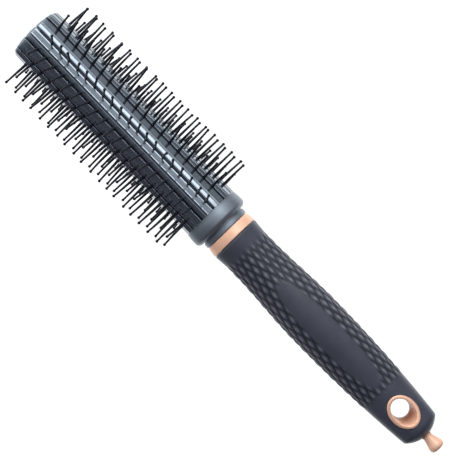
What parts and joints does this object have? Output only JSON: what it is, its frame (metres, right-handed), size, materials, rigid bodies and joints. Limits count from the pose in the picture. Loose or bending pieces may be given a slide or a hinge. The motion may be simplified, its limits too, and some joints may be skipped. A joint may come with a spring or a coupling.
{
  "type": "round hair brush",
  "caption": "Small round styling brush with a slotted plastic barrel, rows of ball-tipped nylon pins, a textured rubber grip, and rose-gold ring, hanging eyelet and tail knob.",
  "frame": {"origin": "middle of the barrel's flat free end, the lowest point when the brush stands on that end", "axes": "+Z along the brush's axis from the barrel's free end to the tail knob; the hanging hole runs along Y, and X is across the wide side of the handle"},
  "size_m": [0.048, 0.048, 0.233],
  "materials": {
    "barrel_plastic": "satin metallic grey-teal moulding",
    "cap_plastic": "satin metallic grey-teal moulding",
    "pin_nylon": "near-black nylon, semi-gloss",
    "core_plastic": "dark moulded plastic, hidden",
    "spine_plastic": "dark moulded plastic, hidden",
    "ring_rose_gold": "rose-gold metallised plastic, satin",
    "eyelet_rose_gold": "rose-gold metallised plastic, satin",
    "knob_rose_gold": "rose-gold metallised plastic, satin",
    "grip_rubber": "matt soft-touch rubber with a faint violet tint"
  },
  "bodies": {
    "root": {"barrel": "barrel_plastic", "bristle_strip_01": "pin_nylon", "bristle_strip_02": "pin_nylon", "bristle_strip_03": "pin_nylon", "bristle_strip_04": "pin_nylon", "bristle_strip_05": "pin_nylon", "bristle_strip_06": "pin_nylon", "bristle_strip_07": "pin_nylon", "bristle_strip_08": "pin_nylon", "bristle_strip_09": "pin_nylon", "bristle_strip_10": "pin_nylon", "bristle_strip_11": "pin_nylon", "bristle_strip_12": "pin_nylon", "strip_core": "core_plastic", "tip_cap": "cap_plastic", "neck_ring": "ring_rose_gold", "handle_spine": "spine_plastic", "grip_sleeve": "grip_rubber", "hang_eyelet": "eyelet_rose_gold", "tail_knob": "knob_rose_gold"}
  },
  "joints": []
}
